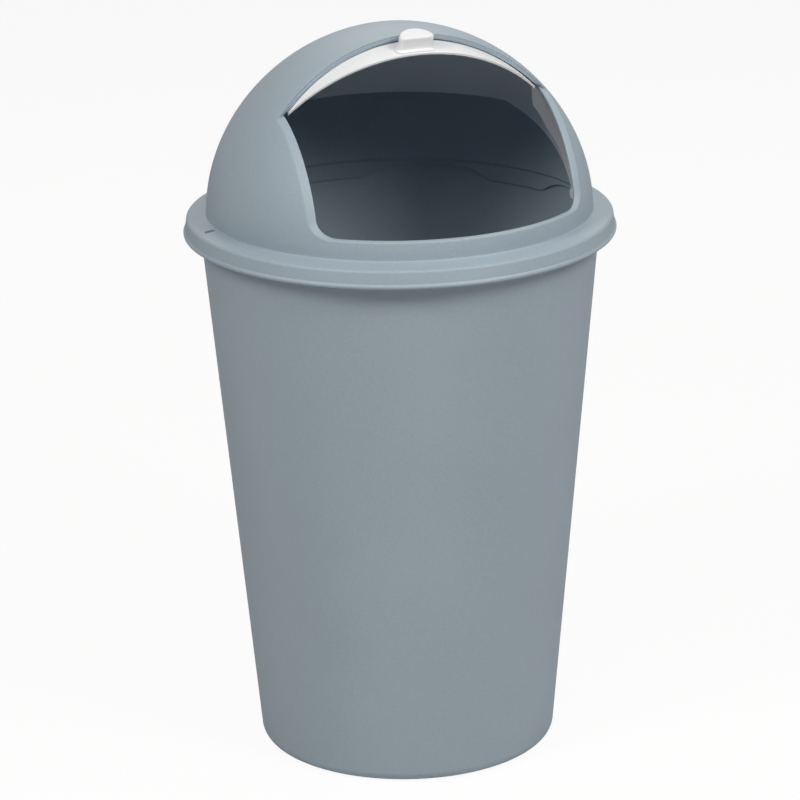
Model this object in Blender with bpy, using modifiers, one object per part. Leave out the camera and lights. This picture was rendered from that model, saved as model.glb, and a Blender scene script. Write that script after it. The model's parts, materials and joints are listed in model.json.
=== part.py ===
"""Dome-top kitchen waste bin with a roll-back visor, as separate moulded pieces.

The bin stands on the floor at the origin, +Z up, with its opening towards -Y. A tapered body
carries a lift-off dome hood, and a white visor with a half-round grip turns inside the hood on
two stub axles. The model shows the visor rolled fully back, with its grip just clear of the brow.
"""

import bmesh
import bpy
from math import asin, atan2, cos, degrees, pi, radians, sin, sqrt, tan
from mathutils import Matrix, Vector

# Body, metres
BODY_HEIGHT = 0.5122
BODY_FOOT_RADIUS = 0.1386
BODY_MOUTH_RADIUS = 0.1851
BODY_WALL = 0.0022
FOOT_FILLET = 0.0117
FOOT_RING_WIDTH = 0.0100
BASE_RECESS = 0.0040
FLOOR_FILLET = 0.0080
RIM_OVERHANG = 0.0078
RIM_LIP_DEPTH = 0.0085
RIM_FILLET = 0.0026

# Hood
HOOD_WALL = 0.0020
DOME_STEP = 0.0066
DOME_RISE_SHARE = 0.967
DOME_FULLNESS_SHARE = 1.035
FLANGE_WIDTH = 0.0187
FLANGE_FALL = 0.0029
FLANGE_FILLET = 0.0030
SKIRT_DEPTH = 0.0166
SKIRT_FLARE = 0.0013
LIP_BEAD_STAND = 0.0028
LIP_BEAD_HEIGHT = 0.0044
SEAT_GAP = 0.0003

# Opening in the hood, heights above the crease where dome and flange meet
OPENING_HALF_WIDTH_SHARE = 0.7378
SILL_HEIGHT = 0.0168
SILL_CORNER = 0.0150
BROW_HEIGHT_SHARE = 0.979
BROW_SETBACK_SHARE = 0.1636
BROW_LEAN = 9.9
LIP_DEPTH = 0.0035
LIP_SIDE = 0.0073
LIP_SILL = 0.0016
LIP_BROW_DRIFT = 0.0026
LIP_BROW_DROP = 0.0017
LIP_LEG = 0.0036
LIP_SUNK = 0.0006
LIP_BURIED = 0.0005

# Tabs that centre the hood in the body's mouth
TAB_COUNT = 6
TAB_CLEARANCE = 0.0017
TAB_WALL = 0.0020
TAB_DEPTH = 0.0180
NOTCH_DEPTH = 0.0062
TAB_ROOT = 0.0012
TAB_TIP_SHARE = 0.343
TAB_FOOT_SHARE = 0.707

# Pivots
PIVOT_DROP = 0.0060
PIN_RADIUS = 0.0030
PIN_PLAY = 0.0003
PIN_PROUD = 0.0008
LUG_COVER = 0.0006
LUG_FACE_INSET = 0.0004
HUB_RADIUS = 0.0052
HUB_THICKNESS = 0.0024
HUB_GAP = 0.0009
SLOT_START = 0.0012
SLOT_LENGTH = 0.0095
SLOT_WIDTH = 0.0055

# Visor: a crown between two cheeks, turned about the axle
VISOR_WALL = 0.0018
CROWN_CLEARANCE = 0.0046
CROWN_END_CLEARANCE = 0.0041
CROWN_END_SHARE = 0.7425
CHEEK_RADIUS_SHARE = 0.9430
CHEEK_START_SHARE = 0.5582
CHEEK_FRONT_STEP_SHARE = 0.696
FLANGE_TOP_TURN_SHARE = 0.686
CHEEK_SETBACK = 0.0058
VISOR_REAR_HEIGHT_SHARE = 0.4564
CHEEK_REAR_ANGLE = 130.0
CHEEK_HUB_ANGLE = 110.5
CHEEK_FLANGE = 0.0140
FLANGE_LEAN = 28.0
CHEEK_FLANGE_TAPER_SHARE = 0.41

# Grip on the visor
GRIP_RADIUS = 0.0173
GRIP_HEIGHT = 0.0140
GRIP_SETBACK = 0.0050
GRIP_CORNER = 0.0040
BROW_GAP = 0.0051
GRIP_WALL = 0.0022
GRIP_EDGE = 0.0016
GRIP_SEAT_GAP = 0.0003
PEG_RADIUS = 0.0022
PEG_SPACING = 0.0160
PEG_SETBACK = 0.0070
PEG_PROUD = 0.0012
POST_RADIUS = 0.0034
PEG_PLAY = 0.0003

# Drawing accuracy and cutting allowances
ROUND_STEPS = 72
SMALL_STEPS = 24
DOME_ROWS = 12
FILLET_STEPS = 3
CROWN_COLUMNS = 8
CHEEK_COLUMNS = 8
OVERRUN = 0.0100
CUT_SWEEP = 30.0
MERGE_DISTANCE = 0.00001
SURFACE_STEP = 0.0002
OUTLINE_STEPS = 14
SIDE_STEPS = 8
HALVINGS = 40

# Places worked out from the sizes above
FLANGE_SLOPE = FLANGE_FALL / FLANGE_WIDTH
RIM_RADIUS = BODY_MOUTH_RADIUS + RIM_OVERHANG
RIM_SEAT_RADIUS = RIM_RADIUS - RIM_FILLET
DOME_RADIUS = BODY_MOUTH_RADIUS - DOME_STEP
DOME_RISE = DOME_RADIUS * DOME_RISE_SHARE
HOOD_WALL_DROP = HOOD_WALL * sqrt(1 + FLANGE_SLOPE ** 2)
CREASE_Z = (BODY_HEIGHT + SEAT_GAP + HOOD_WALL_DROP
            + (RIM_SEAT_RADIUS - DOME_RADIUS) * FLANGE_SLOPE)
PIVOT_Z = CREASE_Z - PIVOT_DROP
DOME_INNER_RADIUS = DOME_RADIUS - HOOD_WALL
TAB_OUTER_RADIUS = BODY_MOUTH_RADIUS - BODY_WALL - TAB_CLEARANCE
LIP_BOTTOM_Z = CREASE_Z - FLANGE_FALL - SKIRT_DEPTH
OPENING_HALF_WIDTH = DOME_RADIUS * OPENING_HALF_WIDTH_SHARE
BROW_HEIGHT = DOME_RISE * BROW_HEIGHT_SHARE
BROW_SETBACK = DOME_RADIUS * BROW_SETBACK_SHARE
HUB_FACE = DOME_INNER_RADIUS - HUB_GAP
PIN_REACH = TAB_OUTER_RADIUS + PIN_PROUD
CROWN_RADIUS = DOME_RISE - HOOD_WALL + PIVOT_DROP - CROWN_CLEARANCE
CROWN_HALF_LENGTH = DOME_INNER_RADIUS - CROWN_END_CLEARANCE
CROWN_END = CROWN_HALF_LENGTH * CROWN_END_SHARE
CHEEK_RADIUS = CROWN_RADIUS * CHEEK_RADIUS_SHARE
CHEEK_START = CROWN_RADIUS * CHEEK_START_SHARE
CHEEK_FRONT_STEP = CROWN_HALF_LENGTH * CHEEK_FRONT_STEP_SHARE
FLANGE_TOP_TURN = CROWN_RADIUS * FLANGE_TOP_TURN_SHARE
VISOR_REAR_HEIGHT = CROWN_RADIUS * VISOR_REAR_HEIGHT_SHARE
CHEEK_FLANGE_TAPER = CROWN_RADIUS * CHEEK_FLANGE_TAPER_SHARE


def clear_scene():
    for old in list(bpy.data.objects):
        bpy.data.objects.remove(old, do_unlink=True)


def new_collection(name):
    made = bpy.data.collections.new(name)
    bpy.context.scene.collection.children.link(made)
    return made


def plastic(name, colour, roughness):
    made = bpy.data.materials.new(name)
    made.use_nodes = True
    shader = made.node_tree.nodes["Principled BSDF"]
    shader.inputs["Base Color"].default_value = (*colour, 1)
    shader.inputs["Roughness"].default_value = roughness
    shader.inputs["Metallic"].default_value = 0
    return made


def place(name, mesh, collection, material=None):
    obj = bpy.data.objects.new(name, mesh)
    collection.objects.link(obj)
    if material:
        mesh.materials.clear()
        mesh.materials.append(material)
    return obj


def as_guide(obj):
    """A cutter or a shape that is joined to another piece: it isn't a piece itself."""
    obj.hide_render = True
    obj.display_type = "WIRE"
    return obj


def smooth(mesh):
    mesh.shade_smooth()
    mesh.set_sharp_from_angle(angle=radians(30))


def mesh_from(bm, name):
    mesh = bpy.data.meshes.new(name)
    bm.to_mesh(mesh)
    bm.free()
    return mesh


def freeze(obj):
    """Replaces an object's mesh with its evaluated one and drops the modifiers."""
    bpy.context.view_layer.update()
    graph = bpy.context.evaluated_depsgraph_get()
    mesh = bpy.data.meshes.new_from_object(obj.evaluated_get(graph))
    obj.modifiers.clear()
    obj.data = mesh
    return obj


def turned(name, profile, collection, steps=ROUND_STEPS, material=None):
    """Turns a profile of (radius, height) points once about Z."""
    bm = bmesh.new()
    points = [bm.verts.new((radius, 0, height)) for radius, height in profile]
    closed = profile[0][0] > MERGE_DISTANCE
    for start, end in zip(points, points[1:]):
        bm.edges.new((start, end))
    if closed:
        bm.edges.new((points[-1], points[0]))
    obj = place(name, mesh_from(bm, name), collection, material)
    screw = obj.modifiers.new("Turn", "SCREW")
    screw.axis = "Z"
    screw.angle = 2 * pi
    screw.steps = steps
    screw.render_steps = steps
    screw.use_merge_vertices = True
    screw.merge_threshold = MERGE_DISTANCE
    return obj


def combine(obj, other, operation):
    modifier = obj.modifiers.new(operation.title(), "BOOLEAN")
    modifier.operation = operation
    modifier.solver = "EXACT"
    modifier.object = other
    return modifier


def thicken(obj, wall):
    modifier = obj.modifiers.new("Wall", "SOLIDIFY")
    modifier.thickness = wall
    modifier.offset = -1
    modifier.use_even_offset = True
    modifier.use_quality_normals = True
    return modifier


def rod(name, radius, start, end, collection, steps=SMALL_STEPS):
    """A cylinder along X or Z from one end point to the other."""
    start, end = Vector(start), Vector(end)
    bm = bmesh.new()
    bmesh.ops.create_cone(bm, cap_ends=True, segments=steps, radius1=radius, radius2=radius,
                          depth=(end - start).length)
    turn = Vector((0, 0, 1)).rotation_difference(end - start).to_matrix().to_4x4()
    turn = turn @ Matrix.Rotation(pi / (2 * steps), 4, "Z")
    bmesh.ops.transform(bm, verts=bm.verts, matrix=Matrix.Translation((start + end) / 2) @ turn)
    return as_guide(place(name, mesh_from(bm, name), collection))


def block(name, low, high, collection):
    bm = bmesh.new()
    bmesh.ops.create_cube(bm, size=1)
    for vert in bm.verts:
        vert.co = Vector([low[i] if vert.co[i] < 0 else high[i] for i in range(3)])
    return as_guide(place(name, mesh_from(bm, name), collection))


def arc(centre, radius, start, end, steps=FILLET_STEPS):
    """Points on a round corner, angles in degrees, both ends included."""
    return [(centre[0] + radius * cos(radians(start + (end - start) * i / steps)),
             centre[1] + radius * sin(radians(start + (end - start) * i / steps)))
            for i in range(steps + 1)]


def inset(points, wall):
    """The same open line moved sideways by a wall, with its corners mitred."""
    moved = []
    for i, (r, z) in enumerate(points):
        before = points[max(i - 1, 0)]
        after = points[min(i + 1, len(points) - 1)]
        normals = []
        for start, end in ((before, (r, z)), ((r, z), after)):
            run, rise = end[0] - start[0], end[1] - start[1]
            length = sqrt(run ** 2 + rise ** 2)
            if length > MERGE_DISTANCE:
                normals.append((rise / length, -run / length))
        nr = sum(n[0] for n in normals) / len(normals)
        nz = sum(n[1] for n in normals) / len(normals)
        size = nr ** 2 + nz ** 2
        moved.append((r + wall * nr / size, z + wall * nz / size))
    return moved


def set_origin(obj, point):
    """Moves an object's origin to a point on its joint, leaving the shape where it is."""
    obj.data.transform(Matrix.Translation(-Vector(point)))
    obj.location = point


# Body

def body_profile():
    """Section of the tapered tub, from the middle of the floor up, over the rim and back down."""
    lean = atan2(BODY_MOUTH_RADIUS - BODY_FOOT_RADIUS, BODY_HEIGHT)
    side = degrees(lean)
    foot_turn = FOOT_FILLET * tan((pi / 2 - lean) / 2)
    foot_centre = (BODY_FOOT_RADIUS - foot_turn, FOOT_FILLET)
    foot_ring_outer = foot_centre[0]
    foot_ring_inner = foot_ring_outer - FOOT_RING_WIDTH
    inner_step = BODY_WALL / cos(lean)
    floor_z = BASE_RECESS + BODY_WALL
    inner_foot = BODY_FOOT_RADIUS + floor_z * tan(lean) - inner_step
    floor_turn = FLOOR_FILLET * tan((pi / 2 - lean) / 2)
    floor_centre = (inner_foot - floor_turn, floor_z + FLOOR_FILLET)
    wall_turn = RIM_FILLET * tan((pi / 2 + lean) / 2)
    rim_top = BODY_HEIGHT
    mouth_inner = BODY_MOUTH_RADIUS - inner_step
    inner_corner = RIM_FILLET + BODY_WALL
    inner_corner_turn = inner_corner * tan((pi / 2 - lean) / 2)
    under_rim = rim_top - BODY_WALL
    outer_at_under = BODY_MOUTH_RADIUS - BODY_WALL * tan(lean)
    lip_bottom = rim_top - RIM_LIP_DEPTH
    lip_inner = RIM_RADIUS - BODY_WALL

    points = [(0, floor_z)]
    points += arc(floor_centre, FLOOR_FILLET, -90, -side)
    points += arc((mouth_inner + inner_corner_turn, rim_top - inner_corner), inner_corner,
                  180 - side, 90)
    points += arc((RIM_RADIUS - RIM_FILLET, rim_top - RIM_FILLET), RIM_FILLET, 90, 0)
    points += [(RIM_RADIUS, lip_bottom), (lip_inner, lip_bottom)]
    points += arc((lip_inner - SEAT_GAP, under_rim - SEAT_GAP), SEAT_GAP, 0, 90, 1)
    points += arc((outer_at_under + wall_turn / 2, under_rim - RIM_FILLET / 2), RIM_FILLET / 2,
                  90, 180 - side)
    points += arc(foot_centre, FOOT_FILLET, -side, -90)
    points += [(foot_ring_inner, 0), (foot_ring_inner - BASE_RECESS, BASE_RECESS), (0, BASE_RECESS)]
    return points


def make_body(pieces, material):
    body = turned("bin_body", body_profile(), pieces, material=material)
    freeze(body)
    smooth(body.data)
    return body


# Hood

def dome_radius(height):
    """Outer radius of the dome at a height above its crease."""
    rise = min(max(height / DOME_RISE, 0), 1)
    angle = asin(rise ** (1 / DOME_FULLNESS_SHARE))
    return DOME_RADIUS * cos(angle) ** DOME_FULLNESS_SHARE


def dome_slant(height):
    """Cosine between the dome's face and straight out from the axis, at a height."""
    step = SURFACE_STEP
    low, high = max(height - step, 0), min(height + step, DOME_RISE)
    return 1 / sqrt(1 + ((dome_radius(high) - dome_radius(low)) / (high - low)) ** 2)


def dome_point(share):
    """Point on the dome's section, from the top at 0 to the crease at 1."""
    angle = pi / 2 * (1 - share)
    return (DOME_RADIUS * max(cos(angle), 0) ** DOME_FULLNESS_SHARE,
            CREASE_Z + DOME_RISE * sin(angle) ** DOME_FULLNESS_SHARE)


def hood_profile():
    """Section of the hood: down its outer face from the top, then back up its inner face."""
    corner_radius = DOME_RADIUS + FLANGE_WIDTH
    corner_z = CREASE_Z - FLANGE_FALL
    slope = degrees(atan2(FLANGE_FALL, FLANGE_WIDTH))
    flare = degrees(atan2(SKIRT_FLARE, SKIRT_DEPTH))
    outer = [(0, CREASE_Z + DOME_RISE)]
    outer += [dome_point(i / DOME_ROWS) for i in range(1, DOME_ROWS + 1)]
    outer += arc((corner_radius - FLANGE_FILLET, corner_z - FLANGE_FILLET + SEAT_GAP),
                 FLANGE_FILLET, 90 - slope, flare)
    bead_top = LIP_BOTTOM_Z + LIP_BEAD_HEIGHT
    bead_radius = corner_radius + LIP_BEAD_STAND
    outer += [(corner_radius + SKIRT_FLARE, bead_top)]
    outer += [(bead_radius, bead_top - LIP_BEAD_HEIGHT / 2)]
    outer += [(bead_radius - SEAT_GAP, LIP_BOTTOM_Z)]
    inner = inset(outer, HOOD_WALL)
    inner[0] = (0, CREASE_Z + DOME_RISE - HOOD_WALL)
    inner[-1] = (inner[-1][0], LIP_BOTTOM_Z)
    return outer + inner[::-1]


def opening_outline(half_width, sill, brow_shift, corner, depth, brow_drop=0):
    """Points round the opening on the dome's face, at a depth below it and deeper at the brow.

    Every outline has the same count of points, so that outlines of different sizes pair up.
    """
    lean = tan(radians(BROW_LEAN))

    def front(x, z):
        return -sqrt((dome_radius(z) - depth / dome_slant(z)) ** 2 - x ** 2)

    def brow(z):
        return -BROW_SETBACK + brow_shift - lean * (BROW_HEIGHT - z)

    def solve(is_high, low, high):
        for _ in range(HALVINGS):
            middle = (low + high) / 2
            low, high = (low, middle) if is_high(middle) else (middle, high)
        return (low + high) / 2

    def on_brow(x):
        deep = depth + brow_drop * (1 - (x / half_width) ** 2)

        def past(z):
            reach = dome_radius(z) - deep / dome_slant(z)
            return reach <= 0 or reach ** 2 - x ** 2 < min(brow(z), 0) ** 2
        z = solve(past, SILL_HEIGHT, DOME_RISE - deep)
        return Vector((x, brow(z), CREASE_Z + z))

    top = on_brow(half_width)
    points = []
    flat = half_width - corner
    for i in range(OUTLINE_STEPS + 1):
        points.append((flat * i / OUTLINE_STEPS, sill))
    points += arc((flat, sill + corner), corner, -90, 0, 2 * FILLET_STEPS)[1:]
    high = top.z - CREASE_Z
    side_low = sill + corner
    for i in range(1, SIDE_STEPS):
        points.append((half_width, side_low + (high - side_low) * i / SIDE_STEPS))
    right = [Vector((x, front(x, z), CREASE_Z + z)) for x, z in points]
    right += [on_brow(half_width * (1 - i / OUTLINE_STEPS)) for i in range(OUTLINE_STEPS + 1)]
    left = [Vector((-p.x, p.y, p.z)) for p in reversed(right[1:-1])]
    return right + left


def opening_cutter(cutters):
    """Wedge that cuts the outline of the opening through the hood's wall."""
    outline = opening_outline(OPENING_HALF_WIDTH, SILL_HEIGHT, 0, SILL_CORNER, 0)
    corner = max(outline, key=lambda p: p.x + p.z)
    lean = tan(radians(BROW_LEAN))
    low_y = -(DOME_RADIUS + OVERRUN)
    high_z = CREASE_Z + DOME_RISE + OVERRUN
    rounded = [p for p in outline if p.z < CREASE_Z + SILL_HEIGHT + SILL_CORNER + MERGE_DISTANCE]
    rounded = [p for p in rounded if abs(p.x) > OPENING_HALF_WIDTH - SILL_CORNER - MERGE_DISTANCE]
    rounded.sort(key=lambda p: (p.x, -p.z if p.x < 0 else p.z))
    section = [(-corner.x, high_z)] + [(p.x, p.z) for p in rounded] + [(corner.x, high_z)]

    def back(z):
        return -BROW_SETBACK - lean * (CREASE_Z + BROW_HEIGHT - z)

    bm = bmesh.new()
    front_ring = [bm.verts.new((x, low_y, z)) for x, z in section]
    back_ring = [bm.verts.new((x, back(z), z)) for x, z in section]
    bm.faces.new(front_ring)
    bm.faces.new(back_ring[::-1])
    for i, here in enumerate(front_ring):
        after = (i + 1) % len(section)
        bm.faces.new((here, back_ring[i], back_ring[after], front_ring[after]))
    bmesh.ops.recalc_face_normals(bm, faces=bm.faces)
    return as_guide(place("opening_cutter", mesh_from(bm, "opening_cutter"), cutters))


def opening_lip(cutters):
    """The turned-in rim of the opening, with a leg inside the dome's wall that it grows from."""
    side_edge = OPENING_HALF_WIDTH - LIP_SIDE
    outlines = [
        opening_outline(OPENING_HALF_WIDTH + LIP_LEG, SILL_HEIGHT - LIP_LEG, LIP_LEG,
                        SILL_CORNER + LIP_LEG, LIP_SUNK),
        opening_outline(OPENING_HALF_WIDTH + LIP_BURIED, SILL_HEIGHT - LIP_BURIED, LIP_BURIED,
                        SILL_CORNER + LIP_BURIED, LIP_SUNK),
        opening_outline(side_edge, SILL_HEIGHT + LIP_SILL, LIP_BROW_DRIFT,
                        SILL_CORNER - LIP_SILL, LIP_DEPTH, LIP_BROW_DROP),
    ]
    bm = bmesh.new()
    rings = [[bm.verts.new(p) for p in outline] for outline in outlines]
    for ring, inner in zip(rings, rings[1:]):
        for i, here in enumerate(ring):
            after = (i + 1) % len(ring)
            bm.faces.new((here, ring[after], inner[after], inner[i]))
    bm.normal_update()
    if next(iter(bm.faces)).normal.y > 0:
        bmesh.ops.reverse_faces(bm, faces=bm.faces)
    lip = as_guide(place("opening_lip", mesh_from(bm, "opening_lip"), cutters))
    thicken(lip, HOOD_WALL)
    return freeze(lip)


def tab_edge(turn_share):
    """How far the centring ring hangs below the crease, at a share of half a tab's pitch."""
    if turn_share <= TAB_TIP_SHARE:
        return TAB_DEPTH
    if turn_share >= TAB_FOOT_SHARE:
        return NOTCH_DEPTH
    rest = (TAB_FOOT_SHARE - turn_share) / (TAB_FOOT_SHARE - TAB_TIP_SHARE)
    return NOTCH_DEPTH + (TAB_DEPTH - NOTCH_DEPTH) * rest ** 2


def tab_ring(cutters):
    """Ring under the dome, cut into six tabs with hollow-sided notches between them."""
    half_pitch = pi / TAB_COUNT
    steps = [TAB_TIP_SHARE / 3, TAB_TIP_SHARE]
    steps += [TAB_TIP_SHARE + (TAB_FOOT_SHARE - TAB_TIP_SHARE) * i / FILLET_STEPS
              for i in range(1, FILLET_STEPS + 1)]
    steps += [(TAB_FOOT_SHARE + 1) / 2]
    bm = bmesh.new()
    rings = []
    for tab in range(TAB_COUNT):
        shares = [-s for s in reversed(steps)] + steps
        for share in shares:
            angle = pi / 2 + (2 * tab + share) * half_pitch
            across = Vector((cos(angle), sin(angle), 0)) * TAB_OUTER_RADIUS
            top = bm.verts.new((across.x, across.y, CREASE_Z - TAB_ROOT))
            low = bm.verts.new((across.x, across.y, CREASE_Z - tab_edge(abs(share))))
            rings.append((top, low))
    for here, there in zip(rings, rings[1:] + rings[:1]):
        bm.faces.new((here[0], here[1], there[1], there[0]))
    ring = as_guide(place("tab_ring", mesh_from(bm, "tab_ring"), cutters))
    thicken(ring, TAB_WALL)
    return freeze(ring)


def make_hood(pieces, cutters, material):
    hood = turned("dome_hood", hood_profile(), pieces, material=material)
    combine(hood, opening_cutter(cutters), "DIFFERENCE")
    combine(hood, opening_lip(cutters), "UNION")
    combine(hood, tab_ring(cutters), "UNION")
    lug_radius = PIVOT_DROP - LUG_COVER
    lug_start = DOME_INNER_RADIUS + LUG_FACE_INSET
    slot_start = DOME_RADIUS + SLOT_START
    for side, word in ((-1, "left"), (1, "right")):
        lug = rod(f"pivot_lug_{word}", lug_radius, (side * lug_start, 0, PIVOT_Z),
                  (side * (TAB_OUTER_RADIUS + LUG_FACE_INSET), 0, PIVOT_Z), cutters)
        combine(hood, lug, "UNION")
    for side, word in ((-1, "left"), (1, "right")):
        bore = rod(f"pivot_bore_{word}", PIN_RADIUS + PIN_PLAY,
                   (side * (HUB_FACE - OVERRUN), 0, PIVOT_Z),
                   (side * (TAB_OUTER_RADIUS + BODY_WALL), 0, PIVOT_Z), cutters)
        combine(hood, bore, "DIFFERENCE")
        ends = sorted((side * slot_start, side * (slot_start + SLOT_LENGTH)))
        slot = block(f"pivot_slot_{word}",
                     (ends[0], -SLOT_WIDTH / 2, CREASE_Z - FLANGE_FALL - HOOD_WALL),
                     (ends[1], SLOT_WIDTH / 2, CREASE_Z + OVERRUN), cutters)
        combine(hood, slot, "DIFFERENCE")
    freeze(hood)
    smooth(hood.data)
    return hood


# Visor

def crown_turn(x):
    """Radius of the crown about the axle at a place along it."""
    return CROWN_RADIUS * sqrt(1 - (x / CROWN_HALF_LENGTH) ** 2)


def crown_turn_x(turn):
    """Place along the axle where the crown has a radius about it."""
    return CROWN_HALF_LENGTH * sqrt(1 - (turn / CROWN_RADIUS) ** 2)


def cheek_reach(turn):
    """Distance along the axle of the cheek's outer face, at a radius about the axle."""
    return (HUB_FACE - SEAT_GAP) * sqrt(1 - (turn / CHEEK_RADIUS) ** 2)


def about_axle(x, turn, angle):
    """Point at an angle about the axle, 0 pointing to the front and 90 straight up."""
    return Vector((x, -turn * cos(radians(angle)), PIVOT_Z + turn * sin(radians(angle))))


def visor_front_angle():
    """Angle of the crown's front edge with the grip's back just short of the brow's edge."""
    brow = opening_outline(OPENING_HALF_WIDTH, SILL_HEIGHT, 0, SILL_CORNER, 0)
    edge = max(brow, key=lambda p: p.z)
    reach = sqrt(edge.y ** 2 + (edge.z - PIVOT_Z) ** 2)
    behind = GRIP_SETBACK + GRIP_RADIUS + BROW_GAP
    return degrees(atan2(edge.z - PIVOT_Z, -edge.y)) - degrees(asin(behind / reach))


def cheek_front_angle():
    """Angle of the cheeks' front edges, which stand a little behind the crown's."""
    return visor_front_angle() + degrees(CHEEK_SETBACK / crown_turn(CHEEK_FRONT_STEP))


def visor_section():
    """The visor's outer face along the axle, from the left hub over the crown to the right."""
    right = [(CROWN_END * i / CROWN_COLUMNS, crown_turn(CROWN_END * i / CROWN_COLUMNS))
             for i in range(CROWN_COLUMNS + 1)]
    low_turn = HUB_RADIUS / 2
    for i in range(CHEEK_COLUMNS + 1):
        turn = CHEEK_START + (low_turn - CHEEK_START) * i / CHEEK_COLUMNS
        right.append((cheek_reach(turn), turn))
    return [(-x, turn) for x, turn in reversed(right[1:])] + right


def visor_shell(pieces, material):
    """The visor's wall turned once about the axle, before it is cut to shape."""
    outer = visor_section()
    inner = inset(outer, VISOR_WALL)
    bm = bmesh.new()
    points = [bm.verts.new((x, turn, 0)) for x, turn in outer + inner[::-1]]
    for start, end in zip(points, points[1:] + points[:1]):
        bm.edges.new((start, end))
    shell = place("visor", mesh_from(bm, "visor"), pieces, material)
    screw = shell.modifiers.new("Turn", "SCREW")
    screw.axis = "X"
    screw.angle = 2 * pi
    screw.steps = ROUND_STEPS
    screw.render_steps = ROUND_STEPS
    screw.use_merge_vertices = True
    screw.merge_threshold = MERGE_DISTANCE
    freeze(shell)
    bm = bmesh.new()
    bm.from_mesh(shell.data)
    bmesh.ops.recalc_face_normals(bm, faces=bm.faces)
    bmesh.ops.translate(bm, verts=bm.verts, vec=(0, 0, PIVOT_Z))
    bm.to_mesh(shell.data)
    bm.free()
    return shell


def side_prism(name, corners, low_x, high_x, cutters):
    """Prism along X over a polygon given as (distance back, height) about the axle."""
    bm = bmesh.new()
    face = bm.faces.new([bm.verts.new((low_x, back, PIVOT_Z + up)) for back, up in corners])
    made = bmesh.ops.extrude_face_region(bm, geom=[face])
    moved = [v for v in made["geom"] if isinstance(v, bmesh.types.BMVert)]
    bmesh.ops.translate(bm, verts=moved, vec=(high_x - low_x, 0, 0))
    bmesh.ops.recalc_face_normals(bm, faces=bm.faces)
    return as_guide(place(name, mesh_from(bm, name), cutters))


def towards(angle, reach):
    """A corner of a side prism at an angle and distance from the axle."""
    return (-reach * cos(radians(angle)), reach * sin(radians(angle)))


def cheek_flange(name, side, cutters):
    """Flange along a cheek's front edge, leaning back inwards and narrowing towards the hub."""
    angle = cheek_front_angle() + degrees(SEAT_GAP / CHEEK_START)
    rows = [(crown_turn_x(FLANGE_TOP_TURN) - VISOR_WALL / 2, CHEEK_FRONT_STEP + VISOR_WALL / 2,
             FLANGE_TOP_TURN)]
    for i in range(CHEEK_COLUMNS + 1):
        turn = CHEEK_START + (HUB_RADIUS / 2 - CHEEK_START) * i / CHEEK_COLUMNS
        outer_x = cheek_reach(turn) - VISOR_WALL / 2
        rows.append((outer_x, outer_x - CHEEK_FLANGE * min(1, turn / CHEEK_FLANGE_TAPER), turn))
    bm = bmesh.new()
    pairs = []
    for outer_x, inner_x, turn in rows:
        back = degrees((outer_x - inner_x) * tan(radians(FLANGE_LEAN)) / turn)
        pairs.append([bm.verts.new(about_axle(side * outer_x, turn, angle)),
                      bm.verts.new(about_axle(side * inner_x, turn, angle + back))])
    for here, there in zip(pairs, pairs[1:]):
        bm.faces.new((here[0], there[0], there[1], here[1]))
    bm.normal_update()
    if next(iter(bm.faces)).normal.y > 0:
        bmesh.ops.reverse_faces(bm, faces=bm.faces)
    flange = as_guide(place(name, mesh_from(bm, name), cutters))
    thicken(flange, VISOR_WALL)
    return freeze(flange)


def grip_frame():
    """Frame of the grip: X across, Y back along the visor, Z out from it, at the front edge."""
    tilt = radians(visor_front_angle() - 90)
    return Matrix.Translation((0, 0, PIVOT_Z)) @ Matrix.Rotation(-tilt, 4, "X")


def grip_places():
    """Where the two pegs stand, in the grip's own frame."""
    return [(side * PEG_SPACING / 2, GRIP_SETBACK + PEG_SETBACK) for side in (-1, 1)]


def make_visor(pieces, cutters, material):
    visor = visor_shell(pieces, material)
    far = CROWN_HALF_LENGTH + OVERRUN
    front = visor_front_angle()
    rear_turn = VISOR_REAR_HEIGHT / sin(radians(CHEEK_REAR_ANGLE))
    outline = [(0, 0), towards(front, 2 * far), (2 * far, 2 * far), (2 * far, VISOR_REAR_HEIGHT)]
    for i in range(CHEEK_COLUMNS):
        share = 1 - i / CHEEK_COLUMNS
        angle = CHEEK_HUB_ANGLE + (CHEEK_REAR_ANGLE - CHEEK_HUB_ANGLE) * share
        outline.append(towards(angle, rear_turn * share))
    combine(visor, side_prism("visor_outline", outline, -far, far, cutters), "INTERSECT")
    step = [(0, 0), towards(front - CUT_SWEEP, far),
            towards(cheek_front_angle(), far)]
    for side, word in ((-1, "left"), (1, "right")):
        ends = sorted((side * CHEEK_FRONT_STEP, side * far))
        combine(visor, side_prism(f"front_step_{word}", step, *ends, cutters), "DIFFERENCE")
    for side, word in ((-1, "left"), (1, "right")):
        combine(visor, cheek_flange(f"cheek_flange_{word}", side, cutters), "UNION")
    for side, word in ((-1, "left"), (1, "right")):
        hub = rod(f"hub_{word}", HUB_RADIUS, (side * (HUB_FACE - HUB_THICKNESS), 0, PIVOT_Z),
                  (side * HUB_FACE, 0, PIVOT_Z), cutters)
        combine(visor, hub, "UNION")
        pin = rod(f"pin_{word}", PIN_RADIUS, (side * (HUB_FACE - HUB_THICKNESS / 2), 0, PIVOT_Z),
                  (side * PIN_REACH, 0, PIVOT_Z), cutters)
        combine(visor, pin, "UNION")
    frame = grip_frame()
    for x, y in grip_places():
        low = frame @ Vector((x, y, CROWN_RADIUS - OVERRUN))
        high = frame @ Vector((x, y, CROWN_RADIUS + OVERRUN))
        hole = rod("peg_hole", PEG_RADIUS + PEG_PLAY, low, high, cutters)
        combine(visor, hole, "DIFFERENCE")
    freeze(visor)
    smooth(visor.data)
    set_origin(visor, (0, 0, PIVOT_Z))
    return visor


# Grip

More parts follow.
